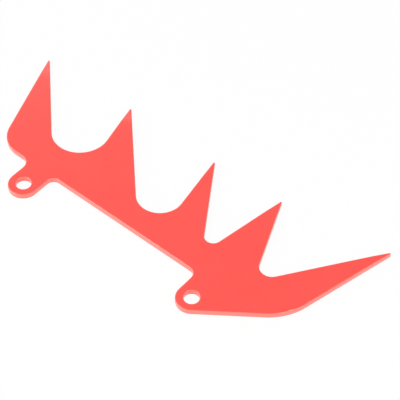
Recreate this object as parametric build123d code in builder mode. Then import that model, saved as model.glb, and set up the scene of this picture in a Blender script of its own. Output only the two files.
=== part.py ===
from build123d import *
import os

# Chainsaw bumper spike: one flat plate of painted sheet steel. Five spikes dig into the log, four round
# gullets part them, and two ears on the back edge carry the screw holes that fasten it to the saw.
# X runs along the line of the screw holes, Y points to the spikes and Z is square to the sheet.
# The origin is midway between the holes, on the underside. All sizes are in millimetres.
# Every offset is measured along X from the screw hole of its own end, the first one at -X.
# Every reach is measured along Y from the line of the holes: to a round's centre, or to the back edge.

# Sheet, over its paint
plate_thickness = 2.1
rim_radius = 0.25

# Screw holes and the ears round them
hole_spacing = 76.0
hole_diameter = 5.3
hole_chamfer = 0.25
ear_wall = 2.8
ear_root_radius = 2.8

# Back edge, the notch on the outer side of the first ear and the round corner past it
back_edge_reach = 8.8
notch_radius = 3.7
shoulder_length = 3.4
corner_radius = 10.9

# Round heel between the second ear and the last spike
heel_offset = 9.7
heel_reach = 26.7
heel_radius = 21.0

# Spike tips, from the first hole's end to the second's
tip_radius = 0.35
tip_1_offset = -35.6
tip_1_reach = 49.4
tip_2_offset = 4.3
tip_2_reach = 50.3
tip_3_offset = -32.0
tip_3_reach = 49.7
tip_4_offset = -3.0
tip_4_reach = 50.5
tip_5_offset = 38.3
tip_5_reach = 56.2

# Gullets, each with the number of the spike before it
gullet_1_offset = -1.9
gullet_1_reach = 30.9
gullet_1_radius = 10.4
gullet_2_offset = -36.7
gullet_2_reach = 26.6
gullet_2_radius = 8.3
gullet_3_offset = -11.0
gullet_3_reach = 24.1
gullet_3_radius = 3.0
gullet_4_offset = 12.0
gullet_4_reach = 26.5
gullet_4_radius = 4.1

# Places that follow from the sizes
first_hole = -hole_spacing / 2
second_hole = hole_spacing / 2
ear_radius = hole_diameter / 2 + ear_wall
root_offset = ear_radius + ear_root_radius
root_reach = back_edge_reach - ear_root_radius
notch_offset = -ear_radius - notch_radius
notch_reach = back_edge_reach - notch_radius
corner_offset = notch_offset - shoulder_length
corner_reach = back_edge_reach + corner_radius


def outward(x, y, radius):
    """A round that the plate fills: a straight edge that touches it has it on the plate's side."""
    return CenterArc((x, y), radius, 0, 360), Tangency.ENCLOSING


def inward(x, y, radius):
    """A round cut into the plate: a straight edge that touches it leaves it outside."""
    return CenterArc((x, y), radius, 0, 360), Tangency.OUTSIDE


# The outline's rounds, counterclockwise from the last spike. A straight edge joins each to the next.
rounds = [
    outward(second_hole + tip_5_offset, tip_5_reach, tip_radius),
    inward(second_hole + gullet_4_offset, gullet_4_reach, gullet_4_radius),
    outward(second_hole + tip_4_offset, tip_4_reach, tip_radius),
    inward(second_hole + gullet_3_offset, gullet_3_reach, gullet_3_radius),
    outward(second_hole + tip_3_offset, tip_3_reach, tip_radius),
    inward(second_hole + gullet_2_offset, gullet_2_reach, gullet_2_radius),
    outward(first_hole + tip_2_offset, tip_2_reach, tip_radius),
    inward(first_hole + gullet_1_offset, gullet_1_reach, gullet_1_radius),
    outward(first_hole + tip_1_offset, tip_1_reach, tip_radius),
    outward(first_hole + corner_offset, corner_reach, corner_radius),
    inward(first_hole + notch_offset, notch_reach, notch_radius),
    outward(first_hole, 0, ear_radius),
    inward(first_hole + root_offset, root_reach, ear_root_radius),
    inward(second_hole - root_offset, root_reach, ear_root_radius),
    outward(second_hole, 0, ear_radius),
    outward(second_hole + heel_offset, heel_reach, heel_radius),
]

# The plate: each straight edge turns into the next along the round between them
with BuildPart() as bumper_spike:
    with BuildSketch():
        with BuildLine():
            pairs = zip(rounds, rounds[1:] + rounds[:1])
            straights = [ConstrainedLines(here, there).edge() for here, there in pairs]
            for arriving, leaving in zip(straights, straights[1:] + straights[:1]):
                TangentArc(arriving @ 1, leaving @ 0, tangent=arriving % 1)
        make_face()
    extrude(amount=plate_thickness)
    fillet(bumper_spike.faces().filter_by(Axis.Z).edges(), radius=rim_radius)
    with Locations((first_hole, 0), (second_hole, 0)):
        Hole(radius=hole_diameter / 2)
    hole_rims = bumper_spike.edges(Select.LAST).filter_by(GeomType.CIRCLE)
    chamfer(hole_rims, length=hole_chamfer)

bumper_spike.part.label = "bumper_spike"
os.makedirs("parts", exist_ok=True)
export_step(bumper_spike.part, "parts/bumper_spike.step")
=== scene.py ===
import math

import bmesh
import bpy
import numpy as np
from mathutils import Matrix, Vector, geometry, kdtree, noise


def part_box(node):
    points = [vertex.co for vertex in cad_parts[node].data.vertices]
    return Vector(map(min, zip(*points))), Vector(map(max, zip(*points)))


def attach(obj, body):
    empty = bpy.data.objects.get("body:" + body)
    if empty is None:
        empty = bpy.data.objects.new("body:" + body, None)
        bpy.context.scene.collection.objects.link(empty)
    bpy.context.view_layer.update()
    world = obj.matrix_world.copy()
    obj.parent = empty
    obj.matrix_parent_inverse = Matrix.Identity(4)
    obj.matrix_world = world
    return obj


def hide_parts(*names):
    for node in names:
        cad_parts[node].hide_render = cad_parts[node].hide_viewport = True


# A chainsaw bumper spike: one flat steel plate in glossy red paint, lying on a white table.
# All lengths are in metres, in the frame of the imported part, where the plate's underside is at z = 0.
MM = 0.001

# Mesh of the plate
OUTLINE_STEP = 0.4 * MM        # spacing of points along the outline
FACE_STEP = 0.9 * MM           # spacing of points across the two faces
GRID_MARGIN = 0.4              # of a step: room between the even points and the rows beside the outline
RIM_STEPS = 7                  # facets round each rim, between the wall and the flat face
ROUND_ROWS = (0.33, 0.67, 1.0, 2.0)   # depths of the rows, as shares of what the upper round adds inwards
ROW_SLACK = 0.97               # a row's point stays if it lies at least this share of the depth inside
STRAIGHT_RATIO = 1.5           # a run that is longer than both its neighbours by this factor is straight
CHORD_PARTS = 8                # points on each chord that depths are measured to
WELD = 0.002 * MM              # points closer than this are one
SAME_POINT = WELD / 100        # the same, for the triangulation
WITHIN_EDGES = 1               # the triangulation keeps to the inside of its given edges

# Form of the finish: the upper rim is rounder than the lower one, the ends of the spikes slope down a little
# and the paint lies in very shallow waves
UPPER_ROUND = 0.45 * MM
TIP_SLOPES = (0.036, 0.05, 0.034, 0.036, 0.04)   # one to each spike, from the first hole's end
TIP_LENGTH = 7.0 * MM          # from a tip to the middle of the bend where its slope begins
TIP_BLEND = 2.0 * MM           # half the length of that bend
WAVE_DEPTH = 0.008 * MM
WAVE_LENGTH = 10.0 * MM
UPPER_WAVES = 20.0 * MM        # height at which the upper face cuts the noise, so that the faces differ

# Red paint
PIGMENT_DEEP = (0.98, 0.067, 0.050, 1)
PIGMENT_BRIGHT = (1.0, 0.073, 0.055, 1)
PIGMENT_RANGE = (0.3, 0.7)     # noise values that give the deep and the bright tone
PIGMENT_SCALE = 90.0
PIGMENT_DETAIL = 3.0
# Painted light: a lighter red on the rims and wall, standing in for the brighter light on the edge
PAINTED_WALL_LIGHT = (0.99, 0.19, 0.14, 1)
PAINTED_WALL_LIGHT_RANGE = (0.02, 0.22)      # turn from the flat at which the painted light on the edge begins, and where it is full
PEEL_SCALE = 700.0
PEEL_DETAIL = 1.0
PEEL_HEIGHT = 0.002 * MM
PAINT_ROUGHNESS = 0.45
PAINT_SPECULAR = 0.3
COAT_ROUGHNESS = 0.16
COAT_IOR = 1.65

# White table
TABLE_WHITE = (0.9, 0.9, 0.9, 1)
TABLE_GLOW = 0.94              # share of plain white in what the camera and reflections see of it
TABLE_HALF = 4.0
TABLE_TOP = -0.02 * MM         # just under the plate

# Light. A lamp's azimuth is measured from the camera, anticlockwise as seen from above.
SKY_STRENGTH = 0.45
LAMP_DISTANCE = 0.9
LAMPS = (
    # name, azimuth, elevation, width, height, watts
    ("left_panel", -60, 32, 1.4, 0.8, 4.9),
    ("right_panel", 35, 26, 1.4, 0.6, 2.0),
    ("left_high_lamp", -85, 54, 0.14, 0.14, 0.65),
    ("left_low_lamp", -72, 36, 0.3, 0.3, 0.5),
    ("right_high_lamp", 48, 61, 0.2, 0.2, 1.3),
    ("right_low_lamp", 70, 46, 0.14, 0.14, 0.3),
    ("back_left_panel", 200, 27, 0.85, 0.45, 1.1),
)

# Camera, at the photograph's viewing angle
VIEW_AZIMUTH = 40.18
VIEW_ELEVATION = 49.27
VIEW_TARGET = Vector((12.28 * MM, 34.66 * MM, 0))
VIEW_DISTANCE = 508.0 * MM
LENS = 133.37                  # millimetres, as the sensor
SENSOR = 36.0
NEAREST_SEEN = 0.01
FARTHEST_SEEN = 50.0


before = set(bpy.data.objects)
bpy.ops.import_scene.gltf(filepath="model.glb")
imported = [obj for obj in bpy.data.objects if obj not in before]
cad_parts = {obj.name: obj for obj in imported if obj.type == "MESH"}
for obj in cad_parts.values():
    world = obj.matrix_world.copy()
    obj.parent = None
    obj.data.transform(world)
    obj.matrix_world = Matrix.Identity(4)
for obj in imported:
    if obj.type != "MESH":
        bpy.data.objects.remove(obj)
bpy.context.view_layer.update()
plate_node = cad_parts["bumper_spike"]
plate_low, plate_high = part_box("bumper_spike")
thickness = plate_high.z


# Outline of the plate's flat upper face, read from the frame

def face_loops(node, height):
    """Edge loops of the flat face at that height, the longest first, each with the plate on its left."""
    mesh = bmesh.new()
    mesh.from_mesh(node.data)
    bmesh.ops.remove_doubles(mesh, verts=mesh.verts, dist=WELD)
    flat = {f for f in mesh.faces if min(v.co.z for v in f.verts) > height - WELD}
    follows = {}
    for face in flat:
        for corner in face.loops:
            if not any(f in flat for f in corner.edge.link_faces if f is not face):
                follows[corner.vert.index] = corner.link_loop_next.vert.index
    places = {v.index: v.co.xy.copy() for v in mesh.verts}
    mesh.free()
    loops = []
    while follows:
        here = next(iter(follows))
        loop = []
        while here in follows:
            loop.append(places[here])
            here = follows.pop(here)
        loops.append(np.array(loop))
    return sorted(loops, key=len, reverse=True)


def split_straights(loop, step):
    """Adds points along the straight runs, which are far longer than the chords beside them."""
    ahead = np.roll(loop, -1, axis=0) - loop
    lengths = np.linalg.norm(ahead, axis=1)
    beside = np.maximum(np.roll(lengths, 1), np.roll(lengths, -1))
    points = []
    for start, run, length, near in zip(loop, ahead, lengths, beside):
        pieces = math.ceil(length / step) if length > STRAIGHT_RATIO * near else 1
        points.extend(start + run * k / pieces for k in range(pieces))
    return np.array(points)


def smooth_loop(loop, step):
    """A smooth closed curve through the loop's points, as points no more than about a step apart."""
    loop = split_straights(loop, step)
    ahead = np.roll(loop, -1, axis=0) - loop
    length = np.linalg.norm(ahead, axis=1)[:, None]
    heading = ahead / length
    length_before = np.roll(length, 1, axis=0)
    tangent = (np.roll(heading, 1, axis=0) * length + heading * length_before) / (length + length_before)
    points = []
    for k in range(len(loop)):
        nxt = (k + 1) % len(loop)
        run = length[k]
        pieces = max(1, math.ceil(run[0] / step))
        for s in np.arange(pieces) / pieces:
            points.append(
                (1 + 2 * s) * (1 - s) ** 2 * loop[k] + s * (1 - s) ** 2 * run * tangent[k]
                + s * s * (3 - 2 * s) * loop[nxt] + s * s * (s - 1) * run * tangent[nxt])
    return np.array(points)


def inside(points, loops):
    """Which points lie on the plate: inside the outline and outside the holes."""
    within = np.zeros(len(points), bool)
    x, y = points[:, 0], points[:, 1]
    for loop in loops:
        for a, b in zip(loop, np.roll(loop, -1, axis=0)):
            if a[1] == b[1]:
                continue
            spans = (a[1] > y) != (b[1] > y)
            within ^= spans & (x < a[0] + (y - a[1]) * (b[0] - a[0]) / (b[1] - a[1]))
    return within


def depth_inside(points, loops):
    """How far each point lies inside the loops, negative where it lies outside them."""
    parts = np.arange(CHORD_PARTS)[None, :, None] / CHORD_PARTS
    fine = []
    for loop in loops:
        chords = np.roll(loop, -1, axis=0) - loop
        fine.append((loop[:, None] + chords[:, None] * parts).reshape(-1, 2))
    fine = np.concatenate(fine)
    tree = kdtree.KDTree(len(fine))
    for k, (x, y) in enumerate(fine):
        tree.insert((x, y, 0), k)
    tree.balance()
    gap = np.array([tree.find((x, y, 0))[2] for x, y in points])
    return np.where(inside(points, loops), gap, -gap)


def inner_rows(loops, depths):
    """Rows of points beside the loops at those depths, left out where a spike is too narrow for them."""
    rows = []
    for depth in depths:
        for loop in loops:
            ahead = np.roll(loop, -1, axis=0) - np.roll(loop, 1, axis=0)
            ahead /= np.linalg.norm(ahead, axis=1)[:, None]
            row = loop + depth * np.c_[-ahead[:, 1], ahead[:, 0]]
            rows.append(row[depth_inside(row, loops) > ROW_SLACK * depth])
    return np.concatenate(rows)


def even_points(low, high, step):
    """Points of an even triangular pattern between two corners."""
    heights = np.arange(low[1], high[1], step * math.sqrt(3) / 2)
    places = np.arange(low[0], high[0], step)
    return np.array([(x + (row % 2) * step / 2, y) for row, y in enumerate(heights) for x in places])


def face_mesh(loops, step, row_depths):
    """A flat triangle mesh that fills the loops, with rows of points beside them and even points between."""
    edge_points = np.concatenate(loops)
    grid = even_points(edge_points.min(0), edge_points.max(0), step)
    grid = grid[depth_inside(grid, loops) > row_depths[-1] + GRID_MARGIN * step]
    edges = []
    first = 0
    for loop in loops:
        count = len(loop)
        edges.extend((first + k, first + (k + 1) % count) for k in range(count))
        first += count
    points = [Vector(p) for p in np.concatenate([edge_points, inner_rows(loops, row_depths), grid])]
    made, _, triangles, *_ = geometry.delaunay_2d_cdt(points, edges, [], WITHIN_EDGES, SAME_POINT)
    made = np.array(made)
    triangles = np.array(triangles)
    triangles = triangles[inside(made[triangles].mean(axis=1), loops)]
    mesh = bpy.data.meshes.new("plate_face")
    mesh.from_pydata([(x, y, 0) for x, y in made], [], triangles.tolist())
    return mesh


def outline_curve(loops):
    """The loops as closed curves whose normals stay level."""
    curve = bpy.data.curves.new("plate_outline", "CURVE")
    curve.dimensions = "3D"
    curve.twist_mode = "Z_UP"
    for loop in loops:
        spline = curve.splines.new("POLY")
        spline.points.add(len(loop) - 1)
        spline.points.foreach_set("co", np.c_[loop, np.zeros(len(loop)), np.ones(len(loop))].ravel())
        spline.use_cyclic_u = True
    return curve


# The plate: two faces joined by an edge with rounded rims that follows the outline

def input_socket(tree, name, kind):
    return tree.interface.new_socket(name=name, in_out="INPUT", socket_type="NodeSocket" + kind)


def rounded_plate_tree():
    """Geometry nodes that double a flat face into a plate and sweep a round-rimmed edge around it."""
    tree = bpy.data.node_groups.new("rounded_plate", "GeometryNodeTree")
    input_socket(tree, "Face", "Geometry")
    input_socket(tree, "Outline", "Object")
    input_socket(tree, "Thickness", "Float")
    input_socket(tree, "Rim Radius", "Float")
    input_socket(tree, "Rim Points", "Int")
    input_socket(tree, "Paint", "Material")
    tree.interface.new_socket(name="Plate", in_out="OUTPUT", socket_type="NodeSocketGeometry")
    nodes, links = tree.nodes, tree.links
    given = nodes.new("NodeGroupInput").outputs

    def node(kind, **values):
        """A node whose inputs, named in lower case, are linked or set."""
        made = nodes.new(kind)
        for name, value in values.items():
            socket = made.inputs[name.replace("_", " ").title()]
            if isinstance(value, bpy.types.NodeSocket):
                links.new(value, socket)
            else:
                socket.default_value = value
        return made

    def vector(**parts):
        return node("ShaderNodeCombineXYZ", **parts).outputs[0]

    def moved(shape, **shift):
        return node("GeometryNodeTransform", geometry=shape, translation=vector(**shift)).outputs[0]

    def joined(*shapes):
        join = nodes.new("GeometryNodeJoinGeometry")
        for shape in shapes:
            links.new(shape, join.inputs[0])
        return join.outputs[0]

    def quarter_round(start, drop):
        arc = node("GeometryNodeCurveArc", resolution=given["Rim Points"], radius=given["Rim Radius"],
                   start_angle=start, sweep_angle=math.pi / 2)
        return moved(arc.outputs["Curve"], y=drop)

    # Profile of the edge, drawn outwards along X and down along Y
    below_wall = nodes.new("ShaderNodeMath")
    below_wall.operation = "SUBTRACT"
    links.new(given["Thickness"], below_wall.inputs[0])
    links.new(given["Rim Radius"], below_wall.inputs[1])
    wall_top = vector(x=given["Rim Radius"], y=given["Rim Radius"])
    wall_foot = vector(x=given["Rim Radius"], y=below_wall.outputs[0])
    wall = node("GeometryNodeCurvePrimitiveLine", start=wall_top, end=wall_foot).outputs[0]
    upper_rim = quarter_round(-math.pi / 2, given["Rim Radius"])
    lower_rim = quarter_round(0.0, below_wall.outputs[0])
    profile = joined(upper_rim, wall, lower_rim)

    # Edge, upper face and lower face
    outline = node("GeometryNodeObjectInfo", object=given["Outline"]).outputs["Geometry"]
    edge = node("GeometryNodeCurveToMesh", curve=outline, profile_curve=profile).outputs[0]
    lower = node("GeometryNodeFlipFaces", mesh=given["Face"]).outputs[0]
    plate = joined(moved(edge, z=given["Thickness"]), moved(given["Face"], z=given["Thickness"]), lower)
    welded = node("GeometryNodeMergeByDistance", geometry=plate, distance=WELD).outputs[0]
    smooth = node("GeometryNodeSetShadeSmooth", geometry=welded).outputs[0]
    real = node("GeometryNodeRealizeInstances", geometry=smooth).outputs[0]
    painted = node("GeometryNodeSetMaterial", geometry=real, material=given["Paint"]).outputs[0]
    links.new(painted, nodes.new("NodeGroupOutput").inputs["Plate"])
    return tree


def add_object(name, data):
    made = bpy.data.objects.new(name, data)
    bpy.context.scene.collection.objects.link(made)
    return made


def make_plate(loops, rim_radius, paint):
    """The plate as a plain mesh, with both rims as round as the CAD's."""
    outline = add_object("plate_outline", outline_curve(loops))
    row_depths = (UPPER_ROUND - rim_radius) * np.array(ROUND_ROWS)
    maker = add_object("plate_maker", face_mesh(loops, FACE_STEP, row_depths))
    tree = rounded_plate_tree()
    sockets = {s.name: s.identifier for s in tree.interface.items_tree if s.in_out == "INPUT"}
    modifier = maker.modifiers.new("rounded_plate", "NODES")
    modifier.node_group = tree
    modifier[sockets["Outline"]] = outline
    modifier[sockets["Thickness"]] = thickness
    modifier[sockets["Rim Radius"]] = rim_radius
    modifier[sockets["Rim Points"]] = RIM_STEPS + 1
    modifier[sockets["Paint"]] = paint
    ready = maker.evaluated_get(bpy.context.evaluated_depsgraph_get())
    mesh = bpy.data.meshes.new_from_object(ready)
    bpy.data.objects.remove(maker)
    bpy.data.objects.remove(outline)
    mesh.name = "painted_spike_plate"
    mesh.materials.clear()
    mesh.materials.append(paint)
    return add_object("painted_spike_plate", mesh)


def spike_tips(outline):
    """The outermost points of the outline, one to each spike, from the first hole's end."""
    reach = outline[:, 1]
    crest = (reach > np.roll(reach, 1)) & (reach >= np.roll(reach, -1))
    tips = outline[crest & (reach > reach.max() / 2)]
    return tips[np.argsort(tips[:, 0])]


def tip_fall(places, outline):
    """How far each place lies below the flat because the end of its spike slopes."""
    fall = np.zeros(len(places))
    for tip, slope in zip(spike_tips(outline), TIP_SLOPES):
        spike = outline[np.linalg.norm(outline - tip, axis=1) < TIP_LENGTH]
        axis = spike.mean(axis=0) - tip
        axis /= np.linalg.norm(axis)
        near = np.linalg.norm(places - tip, axis=1) < TIP_LENGTH + 2 * TIP_BLEND
        beyond = TIP_LENGTH - (places - tip) @ axis
        blend = np.clip(beyond + TIP_BLEND, 0, 2 * TIP_BLEND) ** 2 / (4 * TIP_BLEND)
        fall += slope * np.where(near, np.where(beyond > TIP_BLEND, beyond, blend), 0)
    return fall


def face_waves(places, upper):
    """How deep the waves are at each place, from 0 to 1."""
    heights = np.where(upper, UPPER_WAVES, 0.0)
    waves = [noise.noise(Vector((x, y, z)) / WAVE_LENGTH) for (x, y), z in zip(places, heights)]
    return 0.5 + 0.5 * np.array(waves)


def lay_paint(plate, loops, rim_radius):
    """Rounds the edges, slopes the ends of the spikes and waves the faces a little, always inwards."""
    mesh = plate.data
    co = np.zeros(len(mesh.vertices) * 3)
    mesh.vertices.foreach_get("co", co)
    co = co.reshape(-1, 3)
    flat = co[:, :2]
    upper = co[:, 2] > thickness / 2
    radius = np.where(upper, UPPER_ROUND, rim_radius)
    depth = np.clip(depth_inside(flat, loops) + rim_radius, 0, radius)
    fall = radius - np.sqrt(radius ** 2 - (radius - depth) ** 2)
    co[:, 2] = np.where(upper, thickness - fall, fall)
    sink = np.where(upper, tip_fall(flat, loops[0]), 0) + WAVE_DEPTH * face_waves(flat, upper)
    share = co[:, 2] / thickness
    co[:, 2] += np.where(upper, -share, 1 - share) * sink
    co = np.clip(co, plate_low, plate_high)
    mesh.vertices.foreach_set("co", co.ravel())
    mesh.update()


def mark_edge(plate):
    """Stores how far each point's surface turns from the flat: 0 on the faces and 1 on the wall."""
    mesh = plate.data
    steep = mesh.attributes.new("edge", "FLOAT", "POINT")
    # This value masks the painted light on the edge
    steep.data.foreach_set("value", [1 - abs(v.normal.z) for v in mesh.vertices])


# Materials

def red_paint():
    """Glossy red paint under a clear coat, with the texture of orange peel and painted light on the edge."""
    material = bpy.data.materials.new("red_paint")
    material.use_nodes = True
    nodes, links = material.node_tree.nodes, material.node_tree.links
    shader = nodes["Principled BSDF"]
    shader.inputs["Roughness"].default_value = PAINT_ROUGHNESS
    shader.inputs["Specular IOR Level"].default_value = PAINT_SPECULAR
    shader.inputs["Coat Weight"].default_value = 1.0
    shader.inputs["Coat Roughness"].default_value = COAT_ROUGHNESS
    shader.inputs["Coat IOR"].default_value = COAT_IOR
    place = nodes.new("ShaderNodeTexCoord").outputs["Object"]

    # Pigment, a little uneven
    cloud = nodes.new("ShaderNodeTexNoise")
    cloud.inputs["Scale"].default_value = PIGMENT_SCALE
    cloud.inputs["Detail"].default_value = PIGMENT_DETAIL
    links.new(place, cloud.inputs["Vector"])
    pigment = nodes.new("ShaderNodeValToRGB")
    tones = (PIGMENT_DEEP, PIGMENT_BRIGHT)
    for stop, position, color in zip(pigment.color_ramp.elements, PIGMENT_RANGE, tones):
        stop.position = position
        stop.color = color
    links.new(cloud.outputs["Fac"], pigment.inputs["Fac"])

    # Painted light: the rims and the wall get a lighter red that stands in for the brighter light falling on
    # the edge
    edge = nodes.new("ShaderNodeAttribute")
    edge.attribute_name = "edge"
    painted_light_mask = nodes.new("ShaderNodeMapRange")
    painted_light_mask.interpolation_type = "SMOOTHSTEP"
    painted_light_mask.inputs["From Min"].default_value, painted_light_mask.inputs["From Max"].default_value = PAINTED_WALL_LIGHT_RANGE
    links.new(edge.outputs["Fac"], painted_light_mask.inputs["Value"])
    painted_light_mix = nodes.new("ShaderNodeMix")
    painted_light_mix.data_type = "RGBA"
    color_a, color_b = painted_light_mix.inputs[6], painted_light_mix.inputs[7]
    mixed_color = painted_light_mix.outputs[2]
    links.new(painted_light_mask.outputs["Result"], painted_light_mix.inputs["Factor"])
    links.new(pigment.outputs["Color"], color_a)
    color_b.default_value = PAINTED_WALL_LIGHT
    links.new(mixed_color, shader.inputs["Base Color"])

    # Orange peel
    peel = nodes.new("ShaderNodeTexNoise")
    peel.inputs["Scale"].default_value = PEEL_SCALE
    peel.inputs["Detail"].default_value = PEEL_DETAIL
    links.new(place, peel.inputs["Vector"])
    bump = nodes.new("ShaderNodeBump")
    bump.inputs["Strength"].default_value = 1.0
    bump.inputs["Distance"].default_value = PEEL_HEIGHT
    links.new(peel.outputs["Fac"], bump.inputs["Height"])
    links.new(bump.outputs["Normal"], shader.inputs["Normal"])
    links.new(bump.outputs["Normal"], shader.inputs["Coat Normal"])
    return material


def white_table():
    """White to the camera and in reflections or glass, and a plain white surface to all other light."""
    material = bpy.data.materials.new("white_table")
    material.use_nodes = True
    nodes, links = material.node_tree.nodes, material.node_tree.links
    nodes.clear()
    matt = nodes.new("ShaderNodeBsdfDiffuse")
    matt.inputs["Color"].default_value = TABLE_WHITE
    glow = nodes.new("ShaderNodeEmission")
    path = nodes.new("ShaderNodeLightPath")
    mirrored = nodes.new("ShaderNodeMath")
    mirrored.operation = "MAXIMUM"
    links.new(path.outputs["Is Glossy Ray"], mirrored.inputs[0])
    links.new(path.outputs["Is Transmission Ray"], mirrored.inputs[1])
    seen = nodes.new("ShaderNodeMath")
    seen.operation = "MAXIMUM"
    links.new(path.outputs["Is Camera Ray"], seen.inputs[0])
    links.new(mirrored.outputs[0], seen.inputs[1])
    share = nodes.new("ShaderNodeMath")
    share.operation = "MULTIPLY"
    share.inputs[1].default_value = TABLE_GLOW
    links.new(seen.outputs[0], share.inputs[0])
    mix = nodes.new("ShaderNodeMixShader")
    links.new(share.outputs[0], mix.inputs["Fac"])
    links.new(matt.outputs[0], mix.inputs[1])
    links.new(glow.outputs[0], mix.inputs[2])
    links.new(mix.outputs[0], nodes.new("ShaderNodeOutputMaterial").inputs["Surface"])
    return material


# Stage, light and camera

def make_table():
    mesh = bpy.data.meshes.new("table")
    signs = ((-1, -1), (1, -1), (1, 1), (-1, 1))
    mesh.from_pydata([(x * TABLE_HALF, y * TABLE_HALF, TABLE_TOP) for x, y in signs], [], [(0, 1, 2, 3)])
    mesh.materials.append(white_table())
    add_object("table", mesh)


def direction(azimuth, elevation):
    """A unit vector. Azimuth 0 points along -Y and 90 along +X."""
    a, e = math.radians(azimuth), math.radians(elevation)
    return Vector((math.sin(a) * math.cos(e), -math.cos(a) * math.cos(e), math.sin(e)))


def place_facing_target(thing, towards, distance):
    """Puts a lamp or a camera at that distance from the target and turns it to face the target."""
    thing.location = VIEW_TARGET + towards * distance
    thing.rotation_euler = towards.to_track_quat("Z", "Y").to_euler()


def softbox(name, azimuth, elevation, width, height, watts):
    """A soft panel of light that faces the plate."""
    light = bpy.data.lights.new(name, "AREA")
    light.shape = "RECTANGLE"
    light.size = width
    light.size_y = height
    light.energy = watts
    place_facing_target(add_object(name, light), direction(VIEW_AZIMUTH + azimuth, elevation), LAMP_DISTANCE)


def make_light():
    world = bpy.data.worlds.new("studio")
    world.use_nodes = True
    sky = world.node_tree.nodes["Background"]
    sky.inputs["Color"].default_value = (1, 1, 1, 1)
    sky.inputs["Strength"].default_value = SKY_STRENGTH
    bpy.context.scene.world = world
    for lamp in LAMPS:
        softbox(*lamp)


def make_camera():
    camera = bpy.data.cameras.new("camera")
    camera.sensor_width = SENSOR
    camera.lens = LENS
    camera.clip_start = NEAREST_SEEN
    camera.clip_end = FARTHEST_SEEN
    holder = add_object("camera", camera)
    place_facing_target(holder, direction(VIEW_AZIMUTH, VIEW_ELEVATION), VIEW_DISTANCE)
    bpy.context.scene.camera = holder


# The plate's rim in the frame is as wide as the plate reaches past its flat face
face_outline = [smooth_loop(loop, OUTLINE_STEP) for loop in face_loops(plate_node, thickness)]
cad_rim = plate_high.x - face_outline[0][:, 0].max()
plate = make_plate(face_outline, cad_rim, red_paint())
lay_paint(plate, face_outline, cad_rim)
mark_edge(plate)
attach(plate, "root")
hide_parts("bumper_spike")
make_table()
make_light()
make_camera()
bpy.context.scene.view_settings.view_transform = "Standard"
